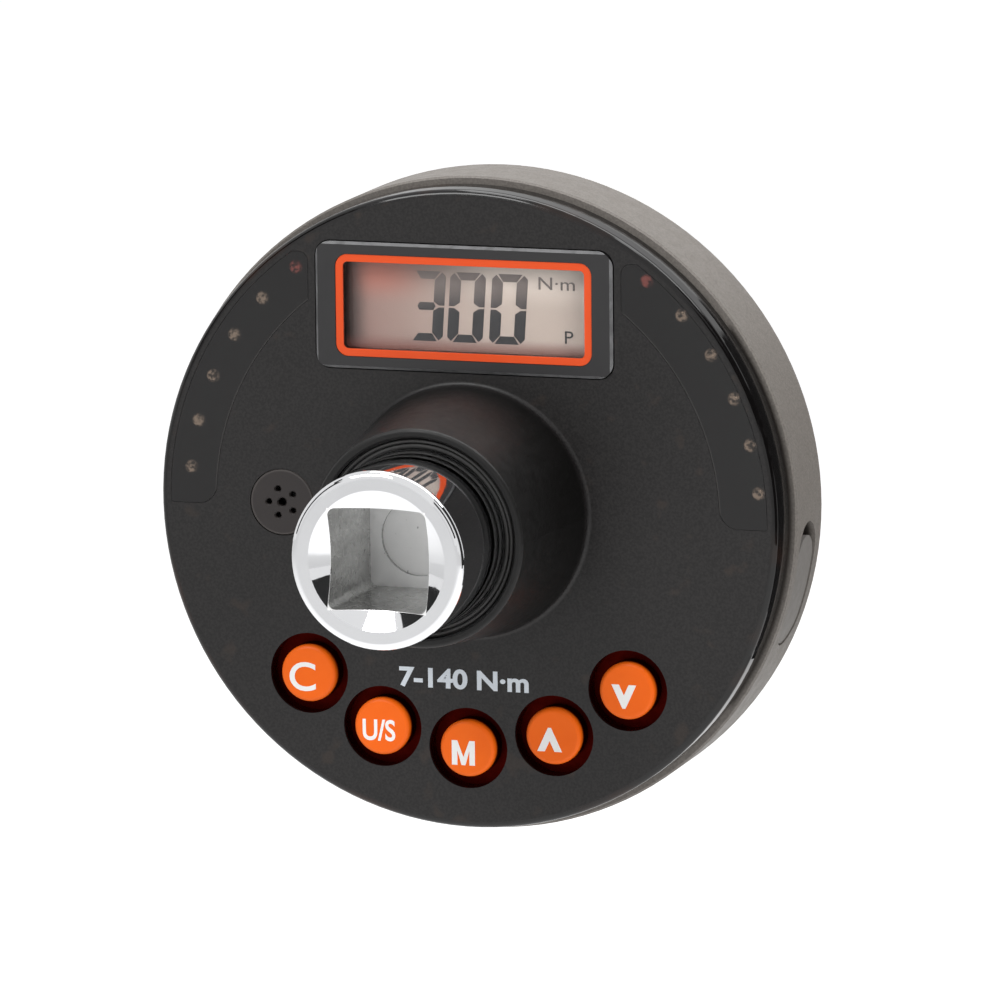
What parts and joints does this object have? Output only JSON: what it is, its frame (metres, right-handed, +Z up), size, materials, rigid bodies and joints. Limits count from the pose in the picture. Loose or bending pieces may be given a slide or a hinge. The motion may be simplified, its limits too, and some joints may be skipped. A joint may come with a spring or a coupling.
{
  "type": "torque angle gauge",
  "caption": "Round electronic torque angle gauge with a square drive socket on a tapered nose, a display, round keys and lamp rows on its face, and a square drive at the rear.",
  "frame": {"origin": "centre of the drive socket's mouth, on the drive axis", "axes": "+Y along the drive axis from the socket to the square drive, face towards -Y, +Z up with the display upright"},
  "size_m": [0.0846, 0.0732, 0.0846],
  "materials": {
    "smoked_cover": "fine grain on the face, gloss on the rim",
    "housing_plastic": "fine spark texture",
    "chromed_steel": "polished",
    "black_plastic": "matte",
    "black_rubber": "matte",
    "bezel_plastic": "semi gloss",
    "orange_plastic": "satin",
    "clear_lens": "clear",
    "lcd": "satin",
    "smoked_window": "smoked, see-through",
    "red_lamp": "clear",
    "amber_lamp": "clear",
    "foam": "matte",
    "circuit_board": "solder mask",
    "foil": "satin",
    "screw_steel": "plated",
    "cell_jacket": "satin",
    "contact_metal": "plated",
    "orange_rubber": "satin silicone"
  },
  "bodies": {
    "body": {"front_cover": "smoked_cover", "rear_housing": "housing_plastic", "drive_shaft": "chromed_steel", "nose_bush": "black_plastic", "shaft_seal": "black_rubber", "case_seal": "black_rubber", "display_bezel": "bezel_plastic", "display_frame": "orange_plastic", "display_lens": "clear_lens", "lcd_panel": "lcd", "lcd_strips": "black_rubber", "led_window_left": "smoked_window", "led_window_right": "smoked_window", "limit_leds": "red_lamp", "progress_leds": "amber_lamp", "sounder_grille": "smoked_cover", "sounder_gasket": "foam", "sounder": "black_plastic", "main_board": "circuit_board", "controller_chip": "black_plastic", "gyro_chip": "black_plastic", "key_switches": "black_plastic", "strain_gauges": "foil", "gauge_flex": "foil", "shaft_setscrews": "screw_steel", "port_jack": "black_plastic", "battery_left": "cell_jacket", "battery_right": "cell_jacket", "battery_springs": "contact_metal", "battery_plates": "contact_metal", "case_screws": "screw_steel", "detent_spring": "screw_steel"},
    "clear_key": {"key_clear": "orange_rubber", "plunger_clear": "black_plastic"},
    "units_key": {"key_units": "orange_rubber", "plunger_units": "black_plastic"},
    "memory_key": {"key_memory": "orange_rubber", "plunger_memory": "black_plastic"},
    "up_key": {"key_up": "orange_rubber", "plunger_up": "black_plastic"},
    "down_key": {"key_down": "orange_rubber", "plunger_down": "black_plastic"},
    "back_cover": {"rear_cover": "housing_plastic", "cover_screws": "screw_steel"},
    "port_flap": {"port_cover": "black_rubber"},
    "ball": {"detent_ball": "chromed_steel"}
  },
  "joints": [
    {"name": "clear_press", "type": "slide", "parent": "body", "child": "clear_key", "axis": [0, 1, 0], "range_m": [0, 0.0005], "stiffness_N_per_m": 3000, "springref_m": -0.0003},
    {"name": "units_press", "type": "slide", "parent": "body", "child": "units_key", "axis": [0, 1, 0], "range_m": [0, 0.0005], "stiffness_N_per_m": 3000, "springref_m": -0.0003},
    {"name": "memory_press", "type": "slide", "parent": "body", "child": "memory_key", "axis": [0, 1, 0], "range_m": [0, 0.0005], "stiffness_N_per_m": 3000, "springref_m": -0.0003},
    {"name": "up_press", "type": "slide", "parent": "body", "child": "up_key", "axis": [0, 1, 0], "range_m": [0, 0.0005], "stiffness_N_per_m": 3000, "springref_m": -0.0003},
    {"name": "down_press", "type": "slide", "parent": "body", "child": "down_key", "axis": [0, 1, 0], "range_m": [0, 0.0005], "stiffness_N_per_m": 3000, "springref_m": -0.0003},
    {"name": "rear_cover_lift", "type": "slide", "parent": "body", "child": "back_cover", "axis": [0, 1, 0], "range_m": [0, 0.03]},
    {"name": "port_cover_swing", "type": "hinge", "parent": "body", "child": "port_flap", "pos_m": [0.039, 0.0461, -0.0166], "axis": [0, 1, 0], "range_deg": [0, 100], "stiffness_Nm_per_rad": 0.002, "springref_deg": -11.46},
    {"name": "ball_press", "type": "slide", "parent": "body", "child": "ball", "axis": [0, 0, -1], "range_m": [0, 0.00075], "stiffness_N_per_m": 4000, "springref_m": -0.0004, "deforming": ["detent_spring"]}
  ]
}
